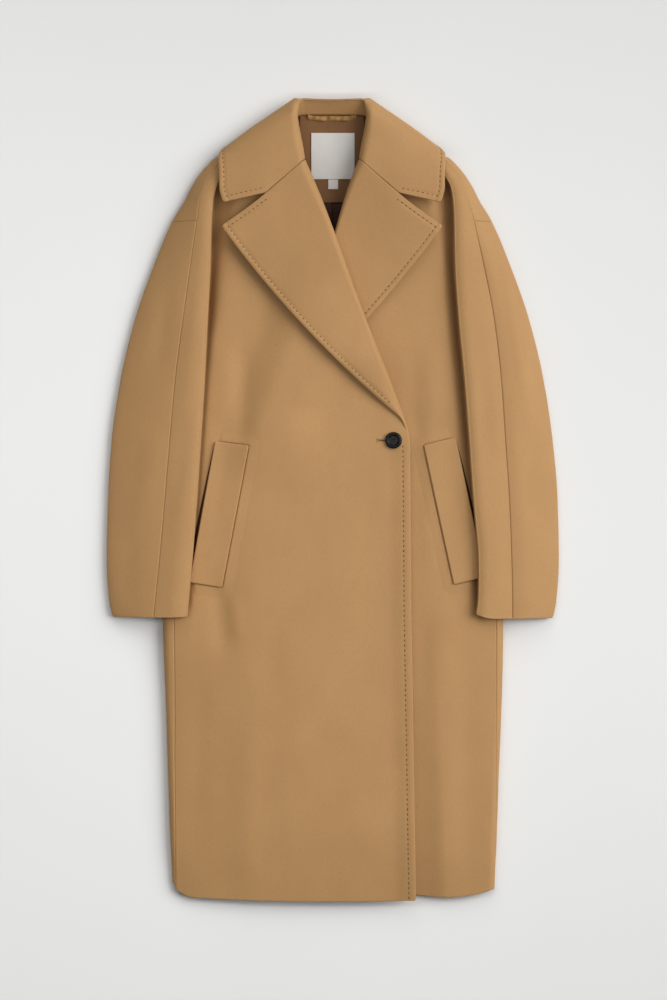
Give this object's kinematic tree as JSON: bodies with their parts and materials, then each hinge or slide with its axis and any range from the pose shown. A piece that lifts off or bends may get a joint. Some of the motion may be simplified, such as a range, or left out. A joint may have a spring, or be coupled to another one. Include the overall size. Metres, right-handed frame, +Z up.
{
  "type": "double-breasted coat",
  "caption": "Long camel wool coat with a wide double-breasted wrap, notched lapels, a turned collar, drop-shoulder sleeves and slanted welt pockets, laid flat on its back, buttoned.",
  "frame": {"origin": "on the floor under the middle of the coat's bounding box", "axes": "+X to the wearer's left, +Y from hem to collar, +Z up, away from the surface the coat lies on"},
  "size_m": [0.677, 1.2061, 0.053],
  "materials": {
    "camel_wool": "brushed wool, matt, short nap",
    "facing_wool": "brushed wool in the shade of the neck",
    "satin_lining": "brown satin",
    "satin_loop": "golden brown satin tube",
    "woven_label": "off-white woven tape, bare",
    "button": "near-black, satin"
  },
  "bodies": {
    "root": {"back": "camel_wool", "front_right": "camel_wool", "front_left": "camel_wool", "lapel_right": "camel_wool", "lapel_left": "camel_wool", "collar": "camel_wool", "collar_stand": "camel_wool", "sleeve_front_right": "camel_wool", "sleeve_front_left": "camel_wool", "sleeve_back_right": "camel_wool", "sleeve_back_left": "camel_wool", "shoulder_right": "camel_wool", "shoulder_left": "camel_wool", "pocket_welt_right": "camel_wool", "pocket_welt_left": "camel_wool", "neck_facing": "facing_wool", "back_lining": "satin_lining", "hanger_loop": "satin_loop", "neck_label": "woven_label", "size_tab": "woven_label", "button": "button"}
  },
  "joints": []
}
